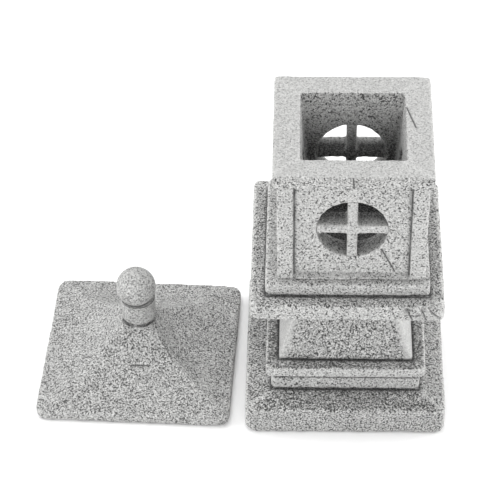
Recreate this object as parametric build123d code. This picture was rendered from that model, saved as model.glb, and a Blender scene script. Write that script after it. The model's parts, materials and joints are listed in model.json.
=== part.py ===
# %% Stone garden lantern, in millimetres
# A stack of square stone courses with a hollow fire box on top, and a loose pyramid roof.
# The fire box and its rim stand a little right of the lantern's axis, and the ball a little left of the
# roof's, as hand-set stones do. The roof is lifted off and lies on the ground at the lantern's left,
# underside down and a little askew.
# Frame: origin on the ground under the middle of the base, +Z up, the front faces -Y.
from build123d import *
import os

os.makedirs("parts", exist_ok=True)

# Driving dimensions, from the ground up. Every course is square in plan.
base_width = 202.0
base_edge_height = 32.0
base_weathering = 5.0
base_corner_radius = 9.0
base_edge_radius = 2.5

plinth_lower_width = 150.0
plinth_lower_height = 18.0
plinth_upper_width = 160.5
plinth_upper_height = 16.5
plinth_bevel_height = 5.0
plinth_corner_radius = 3.0
plinth_edge_radius = 1.5

pedestal_foot_width = 135.0
pedestal_head_width = 87.0
pedestal_height = 80.0
pedestal_corner_radius = 2.5
tenon_width = 48.0
tenon_height = 9.0
mortise_clearance = 0.5

platform_width = 189.5
platform_thickness = 19.5
platform_corner_radius = 7.0
platform_edge_radius = 3.0

step_width = 160.0
step_thickness = 15.0
step_corner_radius = 4.0
step_edge_radius = 2.0
floor_pad_height = 3.0
floor_pad_clearance = 0.5

fire_box_width = 144.0
fire_box_height = 118.0
fire_box_corner_radius = 1.5
fire_box_shift = 3.5
chamber_mouth_width = 100.5
chamber_foot_width = 83.5
chamber_corner_radius = 2.0
panel_width = 112.5
panel_recess = 4.0
panel_sill = 2.0
window_radius = 34.0
window_height = 60.5
cross_bar_width = 10.0
cross_setback = 0.8

rim_width = 152.5
rim_height = 15.5
rim_corner_radius = 2.0
rim_edge_radius = 0.8

roof_width = 198.5
eave_thickness = 12.0
eave_corner_radius = 12.0
eave_edge_radius = 3.0
roof_rise = 47.0
roof_head_width = 33.0
roof_sweep_radius = 118.0
neck_radius = 17.7
neck_height = 26.5
neck_foot_radius = 4.0
neck_lip_radius = 0.6
finial_radius = 20.4
finial_sink = 6.5
finial_clearance = 0.3
finial_shift = -1.5
roof_rest_gap = 12.5
roof_rest_setback = 8.0
roof_rest_turn = -2.4

# Levels and places that follow from them.
base_top = base_edge_height + base_weathering
plinth_joint = base_top + plinth_lower_height
plinth_top = plinth_joint + plinth_upper_height
pedestal_top = plinth_top + pedestal_height
platform_top = pedestal_top + platform_thickness
step_top = platform_top + step_thickness
fire_box_top = step_top + fire_box_height
window_level = step_top + window_height
rim_top = fire_box_top + rim_height
panel_plane = fire_box_width / 2 - panel_recess
chamber_foot_plane = chamber_foot_width / 2
mortise_width = tenon_width + 2 * mortise_clearance
mortise_depth = tenon_height + mortise_clearance
fire_box_place = Pos(fire_box_shift, 0, 0)
roof_rest_x = -(base_width / 2 + roof_rest_gap + roof_width / 2)
roof_rest = Pos(roof_rest_x, roof_rest_setback, 0) * Rot(0, 0, roof_rest_turn)
roof_top = eave_thickness + roof_rise
neck_top = roof_top + neck_height
finial_level = neck_top - finial_sink + finial_radius
FROM_BELOW = (Align.CENTER, Align.CENTER, Align.MIN)


def square_block(width, height, bottom, corner_radius):
    """An upright square block centred on the lantern's axis, with rounded upright corners."""
    block = Pos(0, 0, bottom) * Box(width, width, height, align=FROM_BELOW)
    return fillet(block.edges().filter_by(Axis.Z), corner_radius)


def end_edges(block):
    """The edges around the top face and the bottom face of a block."""
    faces = block.faces().sort_by(Axis.Z)
    return faces[0].edges() + faces[-1].edges()


def square_slab(width, thickness, bottom, corner_radius, edge_radius):
    """A square slab with rounded corners and with its top and bottom edges worn round."""
    block = square_block(width, thickness, bottom, corner_radius)
    return fillet(end_edges(block), edge_radius)


def mortise(bottom):
    """The square socket that a tenon stands in, with clearance for the bedding mortar."""
    return Pos(0, 0, bottom) * Box(mortise_width, mortise_width, mortise_depth, align=FROM_BELOW)


def square_outline(width, level, corner_radius):
    """A rounded square outline lying flat at a level."""
    return Pos(0, 0, level) * RectangleRounded(width, width, corner_radius)


def make_base_slab():
    """The foot slab: an upright edge, and a weathered top that rises to the plinth."""
    block = square_block(base_width, base_edge_height, 0, base_corner_radius)
    foot_edges = block.faces().sort_by(Axis.Z)[0].edges()
    block = fillet(foot_edges, base_edge_radius)
    low = square_outline(base_width, base_edge_height, base_corner_radius)
    high = square_outline(plinth_lower_width, base_top, plinth_corner_radius)
    slab = block + loft([low, high])
    arris = slab.edges().filter_by_position(Axis.Z, base_edge_height, base_edge_height)
    return fillet(arris, base_edge_radius)


def make_plinth_lower():
    """The plain lower course of the plinth."""
    block = square_block(plinth_lower_width, plinth_lower_height, base_top, plinth_corner_radius)
    return fillet(block.faces().sort_by(Axis.Z)[0].edges(), plinth_edge_radius)


def make_plinth_upper():
    """The wider upper course, bevelled back to the lower one, with the pedestal's mortise."""
    bevel_top = plinth_joint + plinth_bevel_height
    low = square_outline(plinth_lower_width, plinth_joint, plinth_corner_radius)
    high = square_outline(plinth_upper_width, bevel_top, plinth_corner_radius)
    block = square_block(plinth_upper_width, plinth_top - bevel_top, bevel_top, plinth_corner_radius)
    block = fillet(block.faces().sort_by(Axis.Z)[-1].edges(), plinth_edge_radius)
    return loft([low, high]) + block - mortise(plinth_top - mortise_depth)


def make_pedestal():
    """The battered stem, with a square tenon at its foot and one at its head."""
    foot = square_outline(pedestal_foot_width, plinth_top, pedestal_corner_radius)
    head = square_outline(pedestal_head_width, pedestal_top, pedestal_corner_radius)
    tenon_span = pedestal_height + 2 * tenon_height
    tenons = Pos(0, 0, plinth_top - tenon_height) * Box(
        tenon_width, tenon_width, tenon_span, align=FROM_BELOW
    )
    return loft([foot, head]) + tenons


def make_platform():
    """The overhanging platform slab, socketed underneath for the pedestal's head."""
    slab = square_slab(
        platform_width, platform_thickness, pedestal_top, platform_corner_radius, platform_edge_radius
    )
    return slab - mortise(pedestal_top)


def make_step_slab():
    """The smaller slab under the fire box, with a raised pad that is the chamber's floor."""
    slab = square_slab(step_width, step_thickness, platform_top, step_corner_radius, step_edge_radius)
    pad_width = chamber_foot_width - 2 * floor_pad_clearance
    pad = square_block(pad_width, floor_pad_height, step_top, chamber_corner_radius)
    return slab + fire_box_place * pad


def make_chamber():
    """The hollow for the light: square, and a little wider at its mouth than at its foot."""
    foot = square_outline(chamber_foot_width, step_top, chamber_corner_radius)
    mouth = square_outline(chamber_mouth_width, rim_top, chamber_corner_radius)
    return loft([foot, mouth])


def on_each_side(piece):
    """A piece at the front, turned about the lantern's axis to all four sides by name."""
    turns = {"front": 0, "right": 90, "back": 180, "left": 270}
    return {side: Rot(0, 0, turn) * piece for side, turn in turns.items()}


def window_bore(radius):
    """A round bore along Y at the window's level, from outside the front into the chamber."""
    middle = (fire_box_width / 2 + chamber_foot_plane) / 2
    return Pos(0, -middle, window_level) * Rot(90, 0, 0) * Cylinder(radius, fire_box_width / 2)


def make_fire_box():
    """The lamp housing: a block bored square, with a sunk panel and a round window on each side."""
    block = square_block(fire_box_width, fire_box_height, step_top, fire_box_corner_radius)
    panel_height = fire_box_height - panel_sill
    panel = Pos(0, -fire_box_width / 2, step_top + panel_sill) * Box(
        panel_width, 2 * panel_recess, panel_height, align=FROM_BELOW
    )
    box = block - make_chamber()
    for cut in on_each_side(panel).values():
        box -= cut
    for bore in on_each_side(window_bore(window_radius)).values():
        box -= bore
    return fire_box_place * box


def make_window_cross():
    """The cross of two stone bars in the front window, cut off flush with the chamber's wall."""
    face = panel_plane - cross_setback
    depth = face - chamber_foot_plane
    length = 2 * window_radius + cross_bar_width
    bars = Box(cross_bar_width, depth, length) + Box(length, depth, cross_bar_width)
    bars = Pos(0, -(face + chamber_foot_plane) / 2, window_level) * bars
    return (bars & window_bore(window_radius)) - make_chamber()


def make_rim_ring():
    """The flat square ring on top of the fire box, which the roof rests on."""
    ring = square_slab(rim_width, rim_height, fire_box_top, rim_corner_radius, rim_edge_radius)
    return fire_box_place * (ring - make_chamber())


def roof_section():
    """The roof's outline seen from the front: flat underneath, with two hollow-swept slopes."""
    eave = roof_width / 2
    head = roof_head_width / 2
    with BuildSketch(Plane.XZ) as section:
        with BuildLine():
            Polyline((-eave, eave_thickness), (-eave, 0), (eave, 0), (eave, eave_thickness))
            right = RadiusArc((eave, eave_thickness), (head, roof_top), roof_sweep_radius)
            Line(right @ 1, (-head, roof_top))
            RadiusArc((-head, roof_top), (-eave, eave_thickness), roof_sweep_radius)
        make_face()
        fillet(section.vertices().group_by(Axis.X)[0].sort_by(Axis.Z)[-1], eave_edge_radius)
        fillet(section.vertices().group_by(Axis.X)[-1].sort_by(Axis.Z)[-1], eave_edge_radius)
    return section.sketch


def make_roof():
    """The roof stone: hollow-swept slopes from a square head down to thin eaves."""
    gable = extrude(roof_section(), roof_width / 2, both=True)
    swept = gable & Rot(0, 0, 90) * gable
    block = square_block(roof_width, roof_top, 0, eave_corner_radius)
    block = fillet(block.faces().sort_by(Axis.Z)[0].edges(), eave_edge_radius)
    return roof_rest * (swept & block)


def make_neck_ring():
    """The round neck on the roof's head, dished on top for the ball with a small clearance."""
    ring = Pos(0, 0, roof_top) * Cylinder(neck_radius, neck_height, align=FROM_BELOW)
    rims = ring.edges().filter_by(GeomType.CIRCLE).sort_by(Axis.Z)
    ring = fillet(rims[0], neck_foot_radius)
    ring -= Pos(finial_shift, 0, finial_level) * Sphere(finial_radius + finial_clearance)
    return roof_rest * fillet(ring.edges().filter_by(GeomType.CIRCLE).sort_by(Axis.Z)[-1], neck_lip_radius)


def make_ball_finial():
    """The ball on top of the roof, by which it is lifted."""
    return roof_rest * Pos(finial_shift, 0, finial_level) * Sphere(finial_radius)


pieces = {
    "base_slab": make_base_slab(),
    "plinth_lower": make_plinth_lower(),
    "plinth_upper": make_plinth_upper(),
    "pedestal": make_pedestal(),
    "platform": make_platform(),
    "step_slab": make_step_slab(),
    "fire_box": make_fire_box(),
    "rim_ring": make_rim_ring(),
    "roof": make_roof(),
    "neck_ring": make_neck_ring(),
    "ball_finial": make_ball_finial(),
}
for side, cross in on_each_side(make_window_cross()).items():
    pieces[f"window_cross_{side}"] = fire_box_place * cross

for name, piece in pieces.items():
    export_step(piece, f"parts/{name}.step")
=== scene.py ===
# %% [markdown]
# A garden lantern is a pile of stones. Its courses, its hollow fire box and its loose roof are already
# exact solids in the shared frame, so their sizes aren't set again here. What the solids lack is age: edges
# rubbed round, corners knocked off, faces that a chisel left a little uneven, and the grain of the stone.
# This lesson takes each stone in turn, wears it down in its mesh, and then gives it a mineral surface.

import json
import math

import bmesh
import bpy
import numpy as np
from mathutils import Matrix, Vector, noise


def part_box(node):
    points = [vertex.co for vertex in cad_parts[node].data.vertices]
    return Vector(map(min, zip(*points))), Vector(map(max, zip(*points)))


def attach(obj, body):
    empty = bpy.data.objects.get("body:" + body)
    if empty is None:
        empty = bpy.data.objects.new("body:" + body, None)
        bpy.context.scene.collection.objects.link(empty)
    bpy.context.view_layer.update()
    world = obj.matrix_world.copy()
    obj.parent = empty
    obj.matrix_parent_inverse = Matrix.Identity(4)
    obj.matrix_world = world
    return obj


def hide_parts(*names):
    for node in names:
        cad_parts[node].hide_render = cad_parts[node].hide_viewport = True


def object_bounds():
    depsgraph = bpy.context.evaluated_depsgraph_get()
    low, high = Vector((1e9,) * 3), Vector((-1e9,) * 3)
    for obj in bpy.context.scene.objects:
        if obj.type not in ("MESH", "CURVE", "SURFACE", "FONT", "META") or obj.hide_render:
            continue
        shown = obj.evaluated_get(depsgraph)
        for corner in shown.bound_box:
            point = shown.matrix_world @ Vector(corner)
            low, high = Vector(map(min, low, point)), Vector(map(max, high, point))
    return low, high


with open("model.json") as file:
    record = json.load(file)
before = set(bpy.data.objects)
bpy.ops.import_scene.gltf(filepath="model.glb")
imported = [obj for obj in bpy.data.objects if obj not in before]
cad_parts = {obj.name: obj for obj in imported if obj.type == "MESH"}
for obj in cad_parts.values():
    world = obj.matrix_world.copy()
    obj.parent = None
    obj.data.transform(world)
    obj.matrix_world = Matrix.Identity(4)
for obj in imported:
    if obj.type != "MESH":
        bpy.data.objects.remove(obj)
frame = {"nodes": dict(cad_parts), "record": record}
cad_low, cad_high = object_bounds()
MM = 0.001
over_all = [round(side / MM) for side in cad_high - cad_low]
print("frame:", len(frame["nodes"]), "stones,", over_all, "mm over all")

# %% [markdown]
# The lantern is seen from in front and well above, as a buyer looks down at it on the ground. A long lens
# from two metres away keeps its upright edges nearly parallel. A constraint could aim the camera, but a
# matrix is exact and leaves nothing live. Read from left to right, the matrix goes to the aim, turns about
# the upright axis, tips down, rolls a little, and backs away.

# %% Camera
CAMERA_LENS = 159.3
CAMERA_DISTANCE = 2.2106
CAMERA_TURN = math.radians(2.01)
CAMERA_DROP = math.radians(42.41)
CAMERA_ROLL = math.radians(-0.92)
AIM_FROM_MIDDLE = Vector((0.0108, -0.0070, 0.0004))
middle = (cad_low + cad_high) / 2


def add_camera():
    """A camera that looks near the middle of the whole group, from in front and above."""
    data = bpy.data.cameras.new("camera")
    data.lens = CAMERA_LENS
    camera = bpy.data.objects.new("camera", data)
    bpy.context.scene.collection.objects.link(camera)
    aim = middle + AIM_FROM_MIDDLE
    tip = Matrix.Rotation(math.pi / 2 - CAMERA_DROP, 4, "X")
    turn = Matrix.Rotation(CAMERA_TURN, 4, "Z") @ tip @ Matrix.Rotation(CAMERA_ROLL, 4, "Z")
    camera.matrix_world = Matrix.Translation(aim) @ turn @ Matrix.Translation((0, 0, CAMERA_DISTANCE))
    return camera


bpy.context.scene.camera = add_camera()
print("camera:", [round(value, 3) for value in bpy.context.scene.camera.matrix_world.translation])

# %% [markdown]
# Hard light would fill the picture with the shadows of the pits, so the stone stands in a light tent. Four
# large square lights make it: one overhead and a little behind, and a fill in front, at the left and at the
# right. The side fills are the stronger ones, because they only graze the faces that are seen. A white
# world keeps the shadows open.

# %% Lights
WORLD_STRENGTH = 0.75
LIGHTS = {
    "overhead": {"place": (-0.4, 0.5, 2.2), "side": 1.4, "watts": 20.0},
    "front_fill": {"place": (0.0, -2.4, 1.1), "side": 1.6, "watts": 18.5},
    "left_fill": {"place": (-2.4, 0.0, 0.9), "side": 1.4, "watts": 26.0},
    "right_fill": {"place": (2.2, 0.1, 1.0), "side": 1.4, "watts": 32.0},
}


def add_light(name, place, side, watts):
    """A square soft light at a place, aimed at the middle of the whole group."""
    data = bpy.data.lights.new(name, "AREA")
    data.energy = watts
    data.size = side
    light = bpy.data.objects.new(name, data)
    aim = (middle - Vector(place)).to_track_quat("-Z", "Y")
    light.matrix_world = Matrix.Translation(place) @ aim.to_matrix().to_4x4()
    bpy.context.scene.collection.objects.link(light)


for light_name, light_facts in LIGHTS.items():
    add_light(light_name, **light_facts)

world = bpy.data.worlds.new("studio")
world.use_nodes = True
world.node_tree.nodes["Background"].inputs["Color"].default_value = (1, 1, 1, 1)
world.node_tree.nodes["Background"].inputs["Strength"].default_value = WORLD_STRENGTH
bpy.context.scene.world = world
bpy.context.scene.view_settings.view_transform = "Standard"
print("lights:", {name: light["watts"] for name, light in LIGHTS.items()}, "watts")

# %% [markdown]
# The floor is one sheet of pale paper, wide enough that its edge stays out of sight from well above. It
# isn't part of the lantern. A white floor would burn out, and a little grey in it keeps the soft shadow.

# %% Floor
FLOOR_SIDE = 8.0
PAPER_TONE = 0.96
PAPER_ROUGHNESS = 0.9

floor_mesh = bpy.data.meshes.new("floor")
floor_shape = bmesh.new()
bmesh.ops.create_grid(floor_shape, x_segments=1, y_segments=1, size=FLOOR_SIDE / 2)
floor_shape.to_mesh(floor_mesh)
floor_shape.free()
floor = bpy.data.objects.new("floor", floor_mesh)
bpy.context.scene.collection.objects.link(floor)
paper = bpy.data.materials.new("paper")
paper.use_nodes = True
paper_shader = paper.node_tree.nodes["Principled BSDF"]
paper_shader.inputs["Base Color"].default_value = (PAPER_TONE, PAPER_TONE, PAPER_TONE, 1)
paper_shader.inputs["Roughness"].default_value = PAPER_ROUGHNESS
floor_mesh.materials.append(paper)
print("floor:", FLOOR_SIDE, "m wide")

# %% [markdown]
# A cut stone leaves the yard with sharp edges, and years outdoors rub them round. A bevel would give every
# edge the same neat radius. Here a stone's mesh is copied instead, its loose triangles are merged, and a
# voxel remesh lays an even net of small squares over it. Wear is easy on an even net: smoothing pulls in
# the edges and leaves the flats alone, and any point of a flat can be lowered a little.

# %% An even net over a stone
MERGE_DISTANCE = 0.001 * MM


def even_net(node, cell):
    """A copy of a stone's mesh, merged and covered with an even net of squares one cell wide."""
    shape = bmesh.new()
    shape.from_mesh(frame["nodes"][node].data)
    bmesh.ops.remove_doubles(shape, verts=shape.verts, dist=MERGE_DISTANCE)
    merged = bpy.data.meshes.new(node)
    shape.to_mesh(merged)
    shape.free()
    carrier = bpy.data.objects.new(node, merged)
    bpy.context.scene.collection.objects.link(carrier)
    remesh = carrier.modifiers.new("net", "REMESH")
    remesh.mode = "VOXEL"
    remesh.voxel_size = cell
    net = bpy.data.meshes.new_from_object(carrier.evaluated_get(bpy.context.evaluated_depsgraph_get()))
    bpy.data.objects.remove(carrier)
    return net


def read(mesh, items, field):
    """One vector for each vertex of a mesh, as the rows of an array."""
    flat = np.empty(3 * len(mesh.vertices), np.float32)
    getattr(mesh, items).foreach_get(field, flat)
    return flat.reshape(-1, 3).astype(float)


def store(mesh, name, values):
    """Keeps one number for each vertex on a mesh, under a name that a finish can read."""
    mesh.attributes.new(name, "FLOAT", "POINT").data.foreach_set("value", values.astype(np.float32))


print("net: corners nearer than", MERGE_DISTANCE / MM, "mm are merged")

# %% [markdown]
# Nothing on an old stone is quite regular, and nearly every step below is broken up by the same smooth
# noise. A texture could hold it, but noise from mathutils gives a height anywhere in space, with no map to
# lay out. Divided by a cell, its bumps are about that wide. A seed shifts it, so no two stones match.

# %% Noise
SEED_SHIFT = Vector((7.3, 3.1, 5.7))


def unevenness(points, cell, seed):
    """Smooth noise between about -1 and 1 at each point, with bumps about one cell wide."""
    shift = SEED_SHIFT * seed
    return np.array([noise.noise(Vector(point) / cell + shift) for point in points])


print("noise 10 mm wide, at three spots:", unevenness(np.eye(3) * 4 * MM, 10 * MM, 1).round(2))

# %% [markdown]
# Rubbed edges come from smoothing: a vertex on an edge has its neighbours behind it and is pulled in, and
# one on a flat isn't. The same pull tells the rest of the lesson where the edges and the inner corners are.
# Only inward pulls are used, so this step never takes a stone out of its solid's space, and noise makes
# some stretches of an edge rounder than others.

# %% Rubbed edges
FULL_EDGE = 0.8 * MM
FULL_HOLLOW = 0.5 * MM
RUB_CELL = 17 * MM
RUB_MEAN = 0.6
RUB_SPREAD = 0.8
LEAST_RUB = 0.15
MOST_RUB = 1.2


def smoothed(mesh, rounds):
    """Where the vertices of a mesh go when it is smoothed for some rounds."""
    shape = bmesh.new()
    shape.from_mesh(mesh)
    for _ in range(rounds):
        bmesh.ops.smooth_vert(
            shape, verts=shape.verts, factor=0.5, use_axis_x=True, use_axis_y=True, use_axis_z=True
        )
    places = np.array([vert.co[:] for vert in shape.verts])
    shape.free()
    return places


def rub_edges(mesh, rounds, seed, loose):
    """Pulls in the edges that stand out, unevenly; gives how much each vertex is edge and hollow, 0 to 1."""
    points = read(mesh, "vertices", "co")
    pull = smoothed(mesh, rounds) - points
    along = (pull * read(mesh, "vertex_normals", "vector")).sum(1) * loose
    amount = np.clip(RUB_MEAN + RUB_SPREAD * unevenness(points, RUB_CELL, seed), LEAST_RUB, MOST_RUB)
    points += pull * (amount * (along < 0) * loose)[:, None]
    mesh.vertices.foreach_set("co", points.ravel())
    return np.clip(-along / FULL_EDGE, 0, 1), np.clip(along / FULL_HOLLOW, 0, 1)


print("edges: an edge gets", LEAST_RUB, "to", MOST_RUB, "of its pull")

# %% [markdown]
# Three layers of noise are enough for the faces: broad hollows left by the chisel, knobs as wide as a
# finger's tip, and small pits where a grain has dropped out. A displacement modifier could add them, but
# it would also push outwards. Each layer here only lowers the surface, below a thin skin that is always
# taken off.

# %% Hollows and pits
SKIN = 0.03 * MM
HOLLOWS = {"depth": 0.7 * MM, "cell": 38 * MM, "start": 0.0}
KNOBS = {"depth": 0.5 * MM, "cell": 9 * MM, "start": 0.0}
PITS = {"depth": 1.5 * MM, "cell": 4.2 * MM, "start": 0.32}


def lower(mesh, depth):
    """Moves every vertex of a mesh inwards by its own depth."""
    points = read(mesh, "vertices", "co")
    points -= read(mesh, "vertex_normals", "vector") * depth[:, None]
    mesh.vertices.foreach_set("co", points.ravel())
    mesh.update()


def layer_depths(points, layer, seed):
    """How far one layer lowers each point: by its depth times the noise above its start."""
    return layer["depth"] * np.clip(unevenness(points, layer["cell"], seed) - layer["start"], 0, None)


def pit_depths(mesh, roughness, seed):
    """How far each vertex of a stone is lowered by hollows, knobs and pits."""
    points = read(mesh, "vertices", "co")
    hollows = layer_depths(points, HOLLOWS, seed)
    knobs = layer_depths(points, KNOBS, seed + 1)
    pits = layer_depths(points, PITS, seed + 2)
    return SKIN + hollows + roughness * (knobs + pits)


print("layers:", [round(layer["depth"] / MM, 1) for layer in (HOLLOWS, KNOBS, PITS)], "mm deep")

# %% [markdown]
# A knock takes a flake off an edge. The flake's hollow is a shallow dish, deepest where the stone was hit,
# so each vertex near the knock is lowered to that dish if it stands above it. A boolean cut would do it
# too, but slowly, and with a rim too sharp for stone. Some knocks are listed where they are easy to
# see, each with its place, reach and depth in millimetres. The rest fall on edges, from a fixed seed.

# %% Knocks
EDGE_WEAR = 0.6
KNOCK_REACH = (2.0, 5.5)
KNOCK_DEPTH = (0.3, 1.1)
NEVER_ZERO = 1e-9
PLACED_KNOCKS = {
    "platform": [
        (57, -94, 165, 4, 1.8), (69, -94, 157, 5, 2.2), (76, -93, 171, 8, 2.4), (-94, -60, 171, 6, 1.2),
    ],
    "rim_ring": [(79, 76, 319, 8, 1.8), (-66, 68, 319.5, 3, 0.9)],
    "base_slab": [(60, -100, 35, 6, 1.4), (-96, -96, 34, 6, 1.2)],
}


def knock(points, normals, centre, reach, depth):
    """Depths that cut a shallow dish into the stone around a point on one of its edges."""
    away = points - centre
    near = np.einsum("ij,ij->i", away, away) < (2 * reach) ** 2
    outward = normals[near].mean(0)
    outward /= np.linalg.norm(outward) + NEVER_ZERO
    height = away[near] @ outward
    aside = np.linalg.norm(away[near] - height[:, None] * outward, axis=1)
    cut = np.zeros(len(points))
    cut[near] = np.clip(height + depth * (1 - (aside / reach) ** 2), 0, depth)
    return cut


def knock_off(mesh, edge, count, seed, placed=()):
    """Flakes knocked off a stone's edges: some listed, the rest at random."""
    points = read(mesh, "vertices", "co")
    normals = read(mesh, "vertex_normals", "vector")
    draw = np.random.default_rng(seed)
    spots = np.flatnonzero(edge > EDGE_WEAR)
    knocks = [(Vector(place) * MM, reach * MM, depth * MM) for *place, reach, depth in placed]
    if len(spots):
        for spot in draw.choice(spots, count):
            knocks.append((points[spot], draw.uniform(*KNOCK_REACH) * MM, draw.uniform(*KNOCK_DEPTH) * MM))
    depths = np.zeros(len(points))
    for centre, reach, depth in knocks:
        depths = np.maximum(depths, knock(points, normals, np.array(centre), reach, depth))
    return depths


print("knocks placed by hand:", {node: len(knocks) for node, knocks in PLACED_KNOCKS.items()})

# %% [markdown]
# Dark marks gather along lines: dirt at the joint under each course, painted shade in the corner of a
# panel, and a scratch. To paint them by hand would take hours, so every line is a formula, and how dark a
# point gets depends on how far it is from the line. A joint between square stones is a square outline, the
# neck's foot is a circle, and a scratch is a straight line.

# %% Distances to lines
DEPTH_LEFT_OUT = 0.8
DARK_LINE_REACH = 1.5 * MM
DARK_LINE_STRENGTH = 1.7


def from_axis(points, axis):
    """Each point's larger and smaller distance from an upright axis, measured along X and Y."""
    aside = np.abs(points[:, :2] - np.array(axis[:2]))
    return aside.max(1), aside.min(1)


def square_distance(points, half, level, axis=(0, 0)):
    """How far each point is from a square outline that lies flat about an axis."""
    return np.hypot(from_axis(points, axis)[0] - half, points[:, 2] - level)


def ring_distance(points, centre, radius, level):
    """How far each point is from a circle that lies flat about an upright axis."""
    aside = np.linalg.norm(points[:, :2] - np.array(centre[:2]), axis=1) - radius
    return np.hypot(aside, points[:, 2] - level)


def line_distance(points, normals, start, end):
    """How far each point is from a straight scratch, with little weight on how deep the point lies."""
    start, end = np.array(start) * MM, np.array(end) * MM
    along = np.clip((points - start) @ (end - start) / ((end - start) @ (end - start)), 0, 1)
    away = points - start - along[:, None] * (end - start)
    depth = (away * normals).sum(1)[:, None] * normals
    return np.linalg.norm(away - DEPTH_LEFT_OUT * depth, axis=1)


def dirt_and_shade_near_line(away):
    """Darkening from 0 to 1 round a line, full close to it and gone a few millimetres away: dirt at joints,
    painted shade in panel corners.
    """
    return np.clip(DARK_LINE_STRENGTH * np.exp(-((away / DARK_LINE_REACH) ** 2)), 0, 1)


print("dirt at 0, 1, 2 and 3 mm from a line:", dirt_and_shade_near_line(np.arange(4) * MM).round(2))

# %% [markdown]
# The courses are bedded on one another, and rain leaves its dust in the joints between them. The frame says
# where each joint is: at a stone's foot or head, along the outline of the narrower stone of the two. The
# neck stands on the roof in the same way, with a fainter line at its foot and at its lip.

# %% Bed joints
FAINTER = 1.5
bed_joints = [
    (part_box(narrower)[1].x, level)
    for narrower, level in (
        ("plinth_lower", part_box("plinth_lower")[0].z),
        ("plinth_lower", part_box("plinth_upper")[0].z),
        ("pedestal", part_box("plinth_upper")[1].z),
        ("step_slab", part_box("step_slab")[0].z),
    )
]
neck_low, neck_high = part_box("neck_ring")
roof_axis = (neck_low + neck_high) / 2
neck_radius = neck_high.x - roof_axis.x


def joint_dirt(points):
    """Dirt along the bed joints and round the neck's foot and lip, from 0 to 1."""
    away = np.min([square_distance(points, half, level) for half, level in bed_joints], axis=0)
    for level in (neck_low.z, neck_high.z):
        away = np.minimum(away, FAINTER * ring_distance(points, roof_axis, neck_radius, level))
    return dirt_and_shade_near_line(away)


print("bed joints at", [round(level / MM, 1) for half, level in bed_joints], "mm")

# %% [markdown]
# The fire box is the stone that a lamp lives in. Each side has a sunk panel round its window, and painted
# shade darkens the panel's upright corners and its sill. Inside, painted shade darkens the chamber and the
# window bores, more so further down and further in, and less on the side walls. Both are formulas about the
# box's own upright axis, which stands a little to the right of the lantern's. The panel's measures are the
# places of its corners.

# %% Painted shade on the fire box
PANEL_HALF = 56.25 * MM
PANEL_PLANE = 68 * MM
PANEL_FOOT = 188 * MM
UPRIGHT_WEIGHT = 0.8
SILL_WEIGHT = 1.2
SHADE_DEPTH = 68 * MM
SHADE_INNER = 53 * MM
SHADE_OUTER = 66 * MM
SHADE_CURVE = 1.5
SIDE_WALLS_LIGHTER = 0.8
box_low, box_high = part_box("fire_box")
rim_low, rim_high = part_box("rim_ring")
box_axis = (box_low + box_high) / 2


def panel_corner_shade(points):
    """Painted shade in the corners of the fire box's sunk panels and on their sills, from 0 to 1."""
    outwards, aside = from_axis(points, box_axis)
    upright = UPRIGHT_WEIGHT * np.hypot(aside - PANEL_HALF, outwards - PANEL_PLANE)
    along_sill = np.hypot(points[:, 2] - PANEL_FOOT, outwards - PANEL_PLANE)
    sill = np.hypot(np.clip(aside - PANEL_HALF, 0, None), along_sill)
    on_panel = (points[:, 2] > PANEL_FOOT - MM) * (points[:, 2] < rim_low.z)
    return dirt_and_shade_near_line(np.minimum(upright, SILL_WEIGHT * sill)) * on_panel


def painted_chamber_shade(points, normals):
    """Painted shade from 0 to 1: inside the chamber and the window bores, darker downwards and inwards."""
    outwards = from_axis(points, box_axis)[0]
    inwards = np.clip((SHADE_OUTER - outwards) / (SHADE_OUTER - SHADE_INNER), 0, 1)
    downwards = np.clip((rim_high.z - points[:, 2]) / SHADE_DEPTH, 0, 1) ** SHADE_CURVE
    # The painted shade is weaker on the chamber's left and right walls.
    by_side = 1 - SIDE_WALLS_LIGHTER * np.abs(normals[:, 0])
    return inwards * downwards * by_side * (points[:, 2] > box_low.z - MM)


print("fire box: its axis is", round(box_axis.x / MM, 1), "mm to the right")

# %% [markdown]
# The rim ring is bonded to the fire box, and each window's cross is bonded to its wall, so no joint shows
# inside. Two worn stones would show one, because wear rounds their edges there. Joining the meshes would
# hide it, but then they would be one stone. Instead those edges are left unworn, and the inner edges of box
# and rim are sunk a few millimetres into each other, within the wall. That is the one step that takes a
# stone past its own solid, and it stays inside its neighbour's.

# %% Bonded joints
INNER_HALF = 54 * MM
TIGHT_REACH = 5 * MM
BAR_REACH = 30.5 * MM
TUCK_REACH = 1.0 * MM
TUCK_DEPTH = 3.5 * MM
TUCK_SPREAD = 0.02
window_axis = (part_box("window_cross_front")[0].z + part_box("window_cross_front")[1].z) / 2


def left_loose(node, points):
    """0 where two stones are bonded tight and show no joint, and 1 elsewhere."""
    outwards, aside = from_axis(points, box_axis)
    if node in ("fire_box", "rim_ring"):
        tight = (outwards < INNER_HALF) & (np.abs(points[:, 2] - rim_low.z) < TIGHT_REACH)
    elif node.startswith("window_cross"):
        tight = np.hypot(aside, points[:, 2] - window_axis) > BAR_REACH
    else:
        return np.ones(len(points))
    return 1.0 - tight


def tuck_in(mesh, node):
    """Sinks the inner edges of two bonded stones into each other, so that no line shows between them."""
    points = read(mesh, "vertices", "co")
    outwards = from_axis(points, box_axis)[0]
    edge = (outwards < INNER_HALF) & (np.abs(points[:, 2] - rim_low.z) < TUCK_REACH)
    points[:, 2] += edge * TUCK_DEPTH * (1 if node == "fire_box" else -1)
    if node == "fire_box":
        axis = np.array(box_axis[:2])
        points[:, :2] += (points[:, :2] - axis) * (edge * TUCK_SPREAD)[:, None]
    mesh.vertices.foreach_set("co", points.ravel())
    mesh.update()


print("bonded: rim at", round(rim_low.z / MM, 1), "mm, windows' middle at", round(window_axis / MM, 1), "mm")
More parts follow.
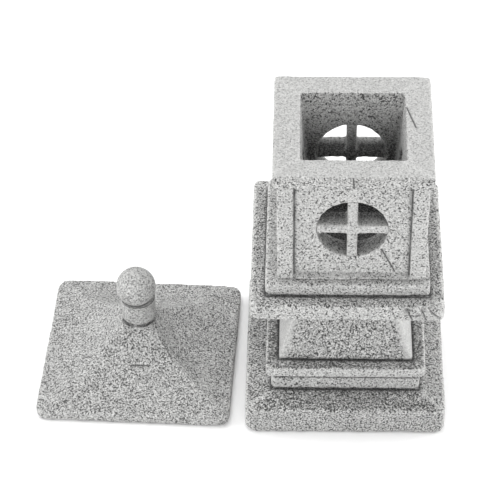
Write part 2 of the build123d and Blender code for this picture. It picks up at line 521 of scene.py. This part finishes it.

# %% [markdown]
# A few long scratches are easy to see, so they are listed one by one. Each runs between two points, in
# millimetres. A scratch is narrower than a square of the net, and a finer net everywhere would be wasteful,
# so the net is divided only near the scratches. The scar is kept on the vertices and also cuts a groove.

# %% Scratches
REFINE_REACH = 3.0 * MM
SCRATCH_WIDTH = 0.85 * MM
SCRATCHES = {
    "rim_ring": [((55, 28, 319.5), (63, -2, 319.5)), ((3, -76.2, 318), (4, -76.2, 305))],
    "fire_box": [((32, -68, 222), (45, -68, 194))],
    "platform": [
        ((57, -94.5, 168), (63, -94.5, 154)), ((60, -94.5, 160), (70, -94.5, 158)),
        ((72, -94.5, 167), (77, -94.5, 152)), ((80, -94.5, 166), (88, -94.5, 158)),
    ],
    "roof": [((-219, -38.1, 30.8), (-200, -38.3, 31.3)), ((-186.9, -20.2, 46.7), (-177.4, -32.6, 36))],
}


def refine(mesh, lines):
    """Divides the net along scratches, so that they can be narrow."""
    points = read(mesh, "vertices", "co")
    normals = read(mesh, "vertex_normals", "vector")
    near = np.min([line_distance(points, normals, start, end) for start, end in lines], axis=0) < REFINE_REACH
    shape = bmesh.new()
    shape.from_mesh(mesh)
    edges = [edge for edge in shape.edges if near[edge.verts[0].index] and near[edge.verts[1].index]]
    bmesh.ops.subdivide_edges(shape, edges=edges, cuts=2, use_grid_fill=True)
    shape.to_mesh(mesh)
    shape.free()


def scratch_scars(node, points, normals):
    """Scars from 0 to 1 along a stone's scratches."""
    scar = np.zeros(len(points))
    for start, end in SCRATCHES.get(node, ()):
        away = line_distance(points, normals, start, end)
        scar = np.maximum(scar, np.exp(-((away / SCRATCH_WIDTH) ** 2)))
    return scar


print("scratches:", {node: len(lines) for node, lines in SCRATCHES.items()})

# %% [markdown]
# Every stone is listed once, with its net's cell in millimetres, its number of random knocks, and four
# shares from 0 to 1 or a little over: how rough it is, how finely it was rubbed, how much dust it holds,
# partly painted shade on the lower courses, and how much painted shade its faces to the front and back
# get. Small stones get a finer net. The window bars, the neck and the ball were rubbed finer than the
# courses. A table keeps such choices in one place, where they are easy to compare.

# %% The stones
STONES = {
    # Dust is partly painted shade on the courses under the platform, and soil is painted shade on faces to
    # the front and back.
    "base_slab": {"cell": 1.9, "knocks": 16, "rough": 1.0, "sheen": 0.0, "dust_and_shade": 0.75, "front_back_shade": 0.38},
    "plinth_lower": {"cell": 1.7, "knocks": 10, "rough": 1.0, "sheen": 0.0, "dust_and_shade": 0.8, "front_back_shade": 0.0},
    "plinth_upper": {"cell": 1.7, "knocks": 12, "rough": 0.9, "sheen": 0.1, "dust_and_shade": 0.8, "front_back_shade": 0.0},
    "pedestal": {"cell": 1.6, "knocks": 4, "rough": 0.6, "sheen": 0.0, "dust_and_shade": 0.0, "front_back_shade": 0.4},
    "platform": {"cell": 1.8, "knocks": 14, "rough": 1.1, "sheen": 0.0, "dust_and_shade": 0.5, "front_back_shade": 0.05},
    "step_slab": {"cell": 1.6, "knocks": 10, "rough": 0.8, "sheen": 0.1, "dust_and_shade": 0.3, "front_back_shade": 0.1},
    "fire_box": {"cell": 1.5, "knocks": 10, "rough": 0.6, "sheen": 0.1, "dust_and_shade": 0.0, "front_back_shade": 0.0},
    "rim_ring": {"cell": 1.4, "knocks": 8, "rough": 0.5, "sheen": 0.0, "dust_and_shade": 0.28, "front_back_shade": 0.15},
    "window_cross_front": {"cell": 1.1, "knocks": 2, "rough": 0.3, "sheen": 0.4, "dust_and_shade": 0.0, "front_back_shade": 0.0},
    "window_cross_right": {"cell": 1.1, "knocks": 2, "rough": 0.3, "sheen": 0.4, "dust_and_shade": 0.0, "front_back_shade": 0.0},
    "window_cross_back": {"cell": 1.1, "knocks": 2, "rough": 0.3, "sheen": 0.4, "dust_and_shade": 0.0, "front_back_shade": 0.0},
    "window_cross_left": {"cell": 1.1, "knocks": 2, "rough": 0.3, "sheen": 0.4, "dust_and_shade": 0.0, "front_back_shade": 0.0},
    "roof": {"cell": 1.7, "knocks": 14, "rough": 0.7, "sheen": 0.0, "dust_and_shade": 0.1, "front_back_shade": 0.0},
    "neck_ring": {"cell": 1.1, "knocks": 2, "rough": 0.4, "sheen": 0.45, "dust_and_shade": 0.0, "front_back_shade": 0.0},
    "ball_finial": {"cell": 1.1, "knocks": 0, "rough": 0.4, "sheen": 0.45, "dust_and_shade": 0.0, "front_back_shade": 0.0},
}
print("stones:", len(STONES), "with", sum(facts["knocks"] for facts in STONES.values()), "random knocks")

# %% [markdown]
# Some faces are finer than the rest of their stone: the rim's top, where the roof is set down, and the
# stem's left and right sides. They could be selected by hand, but the net has tens of thousands of squares,
# so sheen marks them by the way a face looks or by where it lies. Where sheen is high, pits are shallower
# and the finish shows less grain.

# %% Finer faces
TOP_TILT = 0.6
TOP_FADE = 0.3
TOP_SHEEN = 0.8
STEM_MARGIN = 9 * MM
STEM_FADE = 0.5 * STEM_MARGIN
STEM_SHEEN = 0.85


def fine_faces(node, points, normals):
    """Sheen from 0 to 1: a stone's own, and more on the rim's top and on the stem's two sides."""
    sheen = np.full(len(points), STONES[node]["sheen"])
    if node == "rim_ring":
        sheen = np.maximum(sheen, np.clip((normals[:, 2] - TOP_TILT) / TOP_FADE, 0, TOP_SHEEN))
    if node == "pedestal":
        past_hip = np.abs(points[:, 0]) - np.abs(points[:, 1]) + STEM_MARGIN
        sheen = np.maximum(sheen, np.clip(past_hip / STEM_FADE, 0, STEM_SHEEN))
    return sheen


print("the stem's sides are fine from", round(STEM_MARGIN / MM), "mm short of its hips")

# %% [markdown]
# Dust settles on faces that look up, and rain washes it off the slopes to the left and right and off the
# hips, the slanted edges that run up from the corners. On the lower courses, whose tops lie under the
# platform, much of this dust is painted shade. Slopes to the right are kept lighter still, which is painted
# light, and faces to the front and back get painted shade. Dust could be simulated grain by grain, but a
# face's direction says enough.

# %% Dust, painted shade and painted light
HIP_WIDTH = 2.6 * MM
HIP_DUST_LOSS = 0.8
DUST_TILT = 0.5
DUST_FADE = 0.4
SIDE_LOSS = 1.8
RIGHT_PAINTED_LIGHT = 0.9
FRONT_BACK_TILT = 0.6
FRONT_BACK_FADE = 0.2


def on_hip(points):
    """1 on the upright planes through the lantern's corners, and 0 a few millimetres away."""
    return np.exp(-(((np.abs(points[:, 0]) - np.abs(points[:, 1])) / HIP_WIDTH) ** 2))


def dust_and_painted_shade(points, normals, dust_and_shade, front_back_shade):
    """Dust and painted shade from 0 to 1: on faces that look up, least on hips and less on slopes to the
    right, where light is painted, and painted shade on faces to the front or back.
    """
    upwards = np.clip((normals[:, 2] - DUST_TILT) / DUST_FADE, 0, 1)
    # The extra loss on slopes to the right is painted light.
    sloped = SIDE_LOSS * np.abs(normals[:, 0]) + RIGHT_PAINTED_LIGHT * np.clip(normals[:, 0], 0, 1)
    flat = dust_and_shade * upwards * np.clip(1 - sloped - HIP_DUST_LOSS * on_hip(points), 0, 1)
    # Faces to the front and back get painted shade here.
    return np.maximum(flat, front_back_shade * np.clip((np.abs(normals[:, 1]) - FRONT_BACK_TILT) / FRONT_BACK_FADE, 0, 1))


print("dustiest stone:", max(STONES, key=lambda node: STONES[node]["dust_and_shade"]))

# %% [markdown]
# The edges of a handmade stone also wander, in long waves and short ones, and a knocked-off flake leaves a
# hollow that catches dirt in patches. Both come from the same noise as before, with cells of their own, and
# both only take stone away.

# %% Wandering edges and dirty flakes
EDGE_WOBBLE = 2.6 * MM
LONG_WAVE = 13 * MM
SHORT_WAVE = 5 * MM
SHORT_SHARE = 0.6
WAVE_MEAN = 0.1
FLAKE_DEPTH = 2.5 * MM
FLAKE_CELL = 2.5 * MM
FLAKE_MEAN = 0.3
FLAKE_SPREAD = 2


def edge_wobble(points, edge, seed):
    """How far the edges of a stone wander inwards, in long waves and short ones."""
    waves = unevenness(points, LONG_WAVE, seed + 5) + SHORT_SHARE * unevenness(points, SHORT_WAVE, seed + 6)
    return EDGE_WOBBLE * edge * np.clip(WAVE_MEAN + waves, 0, 1)


def dirty_flakes(points, knocks, seed):
    """Dirt from 0 to 1 in the hollows that knocks leave, in patches."""
    patchy = np.clip(FLAKE_MEAN + FLAKE_SPREAD * unevenness(points, FLAKE_CELL, seed), 0, 1)
    return np.clip(knocks / FLAKE_DEPTH, 0, 1) * patchy


print("edges wander by up to", round(EDGE_WOBBLE / MM, 1), "mm")

# %% [markdown]
# One function now takes a stone from its net to its worn mesh, in the order in which time does it: edges
# are rubbed, flakes are knocked off, and then faces and scratches are cut. It keeps six numbers on every
# vertex for the finish to read. Wear is high on edges that stand out. Dirt lies in joints and flakes, and
# painted shade darkens hollow corners and the panels' corners and fills the chamber. Sheen is on the finer
# faces and scar along scratches. Dust lies where it settles, together with painted shade on the lower
# courses' tops and on faces to the front and back, and painted light on slopes to the right.

# %% Weather a stone
EDGE_ROUNDS = {"rim_ring": 3, "fire_box": 3}
USUAL_ROUNDS = 4
HIP_LEVEL = 31 * MM
HIP_WEAR = 0.9
SHEEN_SHALLOWER = 0.8
SCRATCH_DEPTH = 0.6 * MM
GROOVE_DEPTH = 0.5 * MM


def weathered_stone(node, seed):
    """The worn mesh of one stone, with its wear, its dirt, its painted shade and light, its sheen, scars and
    dust.
    """
    facts = STONES[node]
    mesh = even_net(node, facts["cell"] * MM)
    if node in SCRATCHES:
        refine(mesh, SCRATCHES[node])
    loose = left_loose(node, read(mesh, "vertices", "co"))
    wear, hollow = rub_edges(mesh, EDGE_ROUNDS.get(node, USUAL_ROUNDS), seed, loose)
    knocks = knock_off(mesh, wear, facts["knocks"], seed, PLACED_KNOCKS.get(node, ()))
    lower(mesh, knocks)

    points = read(mesh, "vertices", "co")
    normals = read(mesh, "vertex_normals", "vector")
    scar = scratch_scars(node, points, normals)
    sheen = fine_faces(node, points, normals)
    chamber_shade = painted_chamber_shade(points, normals)
    # Hollow corners are darkened here too: painted shade, beside real dirt in the joints and flakes.
    dirt_and_shade = np.maximum(joint_dirt(points), hollow)
    if node == "fire_box":
        dirt_and_shade = np.maximum(dirt_and_shade, panel_corner_shade(points))
    dirt_and_shade = np.maximum(dirt_and_shade, dirty_flakes(points, knocks, seed)) * (1 - chamber_shade)
    if node == "base_slab":
        wear = np.maximum(wear, HIP_WEAR * on_hip(points) * (points[:, 2] > HIP_LEVEL))

    depth = pit_depths(mesh, facts["rough"], seed) * (1 - SHEEN_SHALLOWER * sheen) * loose
    depth += edge_wobble(points, wear * loose, seed)
    lower(mesh, depth + SCRATCH_DEPTH * scar + GROOVE_DEPTH * hollow)
    if node in ("fire_box", "rim_ring"):
        tuck_in(mesh, node)

    dust_and_shade = dust_and_painted_shade(points, normals, facts["dust_and_shade"], facts["front_back_shade"] * (1 - sheen))
    kept = {"wear": wear, "dirt_and_shade": dirt_and_shade, "chamber_shade": chamber_shade, "sheen": sheen, "scar": scar, "dust_and_shade": dust_and_shade}
    for name, values in kept.items():
        store(mesh, name, values)
    mesh.shade_smooth()
    return mesh


print("rounds of rubbing:", USUAL_ROUNDS, "and for finer stones", EDGE_ROUNDS)

# %% [markdown]
# Each worn stone takes the place of its solid. It rides on the same body, so the roof, the neck and the
# ball travel together when the lantern is closed, and its finish slot is read here for the finish laid on
# below. The record says which body and slot belong to which stone, so nothing is listed twice. Seeds are
# spaced out, because each stone uses the few that follow its own.

# %% Place the stones
FIRST_SEED = 3
SEED_STEP = 10
body_of = {node: body for body, nodes in frame["record"]["behaviour"]["bodies"].items() for node in nodes}
slot_of = {part["node"]: part["material_slot"] for part in frame["record"]["subparts"]}


def place_stone(node, seed):
    """Puts a worn stone where its solid is, on the same body, and hides the solid."""
    mesh = weathered_stone(node, seed)
    stone = bpy.data.objects.new("stone_" + node, mesh)
    bpy.context.scene.collection.objects.link(stone)
    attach(stone, body_of[node])
    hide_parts(node)
    return stone


stones = {node: place_stone(node, SEED_STEP * number + FIRST_SEED) for number, node in enumerate(STONES)}
triangles = {node: 2 * len(stone.data.polygons) for node, stone in stones.items()}
print("bodies and finishes:", sorted({(body, slot_of[node]) for node, body in body_of.items()}))
print("triangles: about", sum(triangles.values()), "and at most", max(triangles.values()), "in one stone")

# %% [markdown]
# A finish is a tree of nodes, and its numbers are easier to follow as sums. The small class below wraps a
# socket, so that plus, minus and times add Math nodes, and one method adds any other node.

# %% A socket that can be worked with
class Value:
    """An output socket in a node tree. Sums with it add Math nodes to the tree."""

    def __init__(self, tree, socket):
        self.tree = tree
        self.socket = socket

    def add(self, kind, settings, sockets, output=0):
        """A node of some kind, its settings first and then its sockets; gives one of its outputs."""
        node = self.tree.nodes.new(kind)
        for name, value in settings.items():
            setattr(node, name, value)
        for name, value in sockets.items():
            if isinstance(value, Value):
                self.tree.links.new(value.socket, node.inputs[name])
            else:
                node.inputs[name].default_value = value
        return Value(self.tree, node.outputs[output])

    def math(self, operation, first, second):
        return self.add("ShaderNodeMath", {"operation": operation}, {0: first, 1: second})

    def __add__(self, other):
        return self.math("ADD", self, other)

    def __radd__(self, other):
        return self.math("ADD", other, self)

    def __sub__(self, other):
        return self.math("SUBTRACT", self, other)

    def __rsub__(self, other):
        return self.math("SUBTRACT", other, self)

    def __mul__(self, other):
        return self.math("MULTIPLY", self, other)

    def __rmul__(self, other):
        return self.math("MULTIPLY", other, self)

    def larger(self, other):
        return self.math("MAXIMUM", self, other)

    def between(self, low, high):
        """0 below low, 1 above high, and a smooth rise between them."""
        return self.add(
            "ShaderNodeMapRange",
            {"interpolation_type": "SMOOTHSTEP"},
            {"Value": self, "From Min": low, "From Max": high},
        )

    def noise(self, cell, detail, roughness=0.5, distortion=0.0):
        """Smooth noise at this place, from 0 to 1, with bumps about one cell wide."""
        sockets = {"Vector": self, "Scale": 1 / cell, "Detail": detail, "Roughness": roughness}
        return self.add("ShaderNodeTexNoise", {}, sockets | {"Distortion": distortion})

    def grains(self, cell):
        """One random number for each mineral grain, from 0 to 1."""
        colour = self.add("ShaderNodeTexVoronoi", {}, {"Vector": self, "Scale": 1 / cell}, "Color")
        return colour.add("ShaderNodeSeparateColor", {}, {"Color": colour}, "Red")

    def toward(self, factor, colour):
        """This colour mixed towards another by a factor."""
        mix = {"data_type": "RGBA", "clamp_factor": True}
        return self.add("ShaderNodeMix", mix, {0: factor, 6: self, 7: colour}, 2)


print("sums on sockets:", [name for name in vars(Value) if name.endswith(("add__", "sub__", "mul__"))])

# %% [markdown]
# This is tooled granite: a pale grey ground, broken up by mineral grains of one or two millimetres, some
# nearly white and some dark, and peppered with wormy little pits that hold dirt. The roof was cut from a
# finer block, with more pits and darker grains. Each finish could be a tree of its own, but one tree with
# two sets of numbers is easier to keep alike. Grain, fleck and pit are the widths of those marks in
# millimetres, and the other names say which tone or share they set.

# %% Tones and grain sizes
LANTERN_LOOK = {
    "grain": 1.6, "fleck": 1.3, "pit": 1.9, "worm": 0.4,
    "pit_from": 0.615, "pit_patches": 0.09, "pit_soft": 0.07, "pit_dust": 0.07,
    "ground": 0.64, "shade": 0.34, "cloud": 0.47, "light": 0.68,
    # The dirt tone also serves for painted shade, and the darkest tone is painted shade in the chamber.
    "fleck_tone": 0.18, "pit_tone": 0.07, "dirt_and_shade_tone": 0.05, "chamber_shade_tone": 0.03,
    "dark_share": 0.16, "light_share": 0.14, "wear": 0.30, "dust_and_shade": 0.9,
    "sheen_effect": 0.8, "bump": 0.9,
}
ROOF_LOOK = LANTERN_LOOK | {
    "grain": 1.5, "fleck": 1.2, "pit": 1.7, "pit_from": 0.59,
    "ground": 0.63, "shade": 0.24, "cloud": 0.44, "light": 0.72,
    "fleck_tone": 0.14, "pit_tone": 0.10,
}
BLUE_SHARE = 0.985


def grey(level):
    """A stone grey of one brightness, with a little less blue in it than a neutral one."""
    return (level, level, level * BLUE_SHARE, 1)


print("ground tones:", LANTERN_LOOK["ground"], "for the lantern and", ROOF_LOOK["ground"], "for the roof")

# %% [markdown]
# An image could hold the speckle, but it would stretch on the slopes, so the pattern is made in space from
# noise and Voronoi cells. Each mark is a mask from 0 to 1: the mottle of the grain, broad clouds of tone
# that keep the faces from looking printed, pale and dark flecks, and pits, which crowd together in patches
# and where dust lies. On the finer faces all but the clouds and the pale flecks fade.

# %% Marks in the stone
CLOUD_CELL = 34 * MM
PATCH_CELL = 11 * MM
FINE_CELL = 0.55
GRAIN_EDGE = (0.34, 0.66)
CLOUD_EDGE = (0.35, 0.65)
EVEN_MOTTLE = 0.5


def kept(place, attribute):
    """One of the six numbers that a stone keeps on its vertices."""
    return place.add("ShaderNodeAttribute", {"attribute_name": attribute}, {}, "Fac")


def stone_marks(place, look):
    """The marks of a stone surface by name, and the noises that its relief is made of."""
    rough_here = 1 - kept(place, "sheen") * look["sheen_effect"]
    grain = place.noise(look["grain"] * MM, detail=2, roughness=0.55)
    clouds = place.noise(CLOUD_CELL, detail=3, roughness=0.6)
    fleck = place.grains(look["fleck"] * MM)
    worm = place.noise(look["pit"] * MM, detail=2.5, roughness=0.55, distortion=look["worm"])
    patches = place.noise(PATCH_CELL, detail=2)
    dust_and_shade = kept(place, "dust_and_shade")
    pit_edge = look["pit_from"] - patches * look["pit_patches"] - dust_and_shade * look["pit_dust"]
    return {
        "rough_here": rough_here,
        "grain": grain,
        "fine": place.noise(look["grain"] * FINE_CELL * MM, detail=2, roughness=0.6),
        "mottle": (grain.between(*GRAIN_EDGE) - EVEN_MOTTLE) * rough_here + EVEN_MOTTLE,
        "clouds": clouds.between(*CLOUD_EDGE),
        "light_fleck": fleck.between(1 - look["light_share"], 1.0),
        "dark_fleck": (1 - fleck.between(0.0, look["dark_share"])) * rough_here,
        "pits": (worm - pit_edge).between(0.0, look["pit_soft"]) * rough_here,
        "patches": patches,
        "dust_and_shade": dust_and_shade,
    }


print("clouds are", round(CLOUD_CELL / MM), "mm wide, and patches of pits", round(PATCH_CELL / MM), "mm")

# %% [markdown]
# The colour is built up as a painter would: the ground first, then each mark over it, and last what the
# stone has caught and the painted shade. Rubbed edges are paler, joints and dust are darker, and painted
# shade darkens hollow corners, the panels' corners, the chamber, the lower courses' tops and the faces to
# the front and back, while slopes to the right get painted light. Every layer is a tone and a factor that
# says how much of it shows, so one loop can lay them all.

# %% Layers of colour
CLOUD_STRENGTH = 0.35
LIGHT_STRENGTH = 0.5
DARK_STRENGTH = 0.7
DIRT_SHADE_EVEN, DIRT_SHADE_PATCHY = 0.65, 0.6
SHADE_EVEN, SHADE_GRAINY = 0.7, 0.4


def stone_colour(place, look, marks):
    """The ground colour, with every mark and every kind of dirt laid over it in turn."""
    shade = 1 - marks["mottle"]
    layers = (
        ("shade", shade),
        ("cloud", marks["clouds"] * CLOUD_STRENGTH),
        ("light", marks["light_fleck"] * LIGHT_STRENGTH + kept(place, "wear") * look["wear"]),
        ("fleck_tone", marks["dark_fleck"] * DARK_STRENGTH),
        ("pit_tone", marks["pits"].larger(kept(place, "scar"))),
        # Dirt in joints and flakes, with painted shade in hollow corners and panel corners.
        ("dirt_and_shade_tone", kept(place, "dirt_and_shade") * (DIRT_SHADE_EVEN + DIRT_SHADE_PATCHY * marks["patches"])),
        # Dust, with painted shade on the lower courses' tops and on faces to the front and back.
        ("dirt_and_shade_tone", marks["dust_and_shade"] * shade * look["dust_and_shade"]),
        # Painted shade inside the chamber.
        ("chamber_shade_tone", kept(place, "chamber_shade") * (SHADE_EVEN + SHADE_GRAINY * shade)),
    )
    colour = place.add("ShaderNodeRGB", {}, {})
    colour.socket.default_value = grey(look["ground"])
    for tone, factor in layers:
        colour = colour.toward(factor, grey(look[tone]))
    return colour


print("thick dirt hides at least", DIRT_SHADE_EVEN, "of the stone, and thick soot at least", SHADE_EVEN)

# %% [markdown]
# Grain too fine for the net is left to a bump, which tilts the light on it. Pits sit in the colour and in
# the bump together, because light alone doesn't darken them enough. They are also the roughest spots, and
# the pale flecks, which are flat faces of crystal, are the glossiest.

# %% The stone finish
FINE_BUMP, GRAIN_BUMP = 0.25, 0.5
BUMP_DISTANCE = 1.2 * MM
ROUGHNESS, PIT_ROUGHER, FLECK_GLOSSIER = 0.72, 0.22, 0.12
SPECULAR = 0.3


def stone_relief(place, look, marks):
    """A bumped normal: fine and coarse grain stand up, and pits go in."""
    rough_here = marks["rough_here"]
    grains = marks["fine"] * FINE_BUMP * rough_here + marks["grain"] * GRAIN_BUMP * rough_here
    sockets = {"Strength": look["bump"], "Distance": BUMP_DISTANCE, "Height": grains - marks["pits"]}
    return place.add("ShaderNodeBump", {}, sockets, "Normal")


def stone_finish(name, look):
    """A speckled, pitted stone surface; look holds its tones and the sizes of its grain and pits."""
    material = bpy.data.materials.new(name)
    material.use_nodes = True
    tree = material.node_tree
    place = Value(tree, tree.nodes.new("ShaderNodeTexCoord").outputs["Object"])
    marks = stone_marks(place, look)
    roughness = ROUGHNESS + marks["pits"] * PIT_ROUGHER - marks["light_fleck"] * FLECK_GLOSSIER
    shader = tree.nodes["Principled BSDF"]
    tree.links.new(stone_colour(place, look, marks).socket, shader.inputs["Base Color"])
    tree.links.new(roughness.socket, shader.inputs["Roughness"])
    tree.links.new(stone_relief(place, look, marks).socket, shader.inputs["Normal"])
    shader.inputs["Specular IOR Level"].default_value = SPECULAR
    return material


finishes = {
    "lantern_stone": stone_finish("speckled_granite", LANTERN_LOOK),
    "roof_stone": stone_finish("fine_granite", ROOF_LOOK),
}
for node, stone in stones.items():
    stone.data.materials.clear()
    stone.data.materials.append(finishes[slot_of[node]])
print("finishes:", {finish.name: len(finish.node_tree.nodes) for finish in finishes.values()}, "nodes")

# %% [markdown]
# A worn stone is a little smaller than its solid, and it must never be larger, because the solids' box is
# the size that a user plans with.
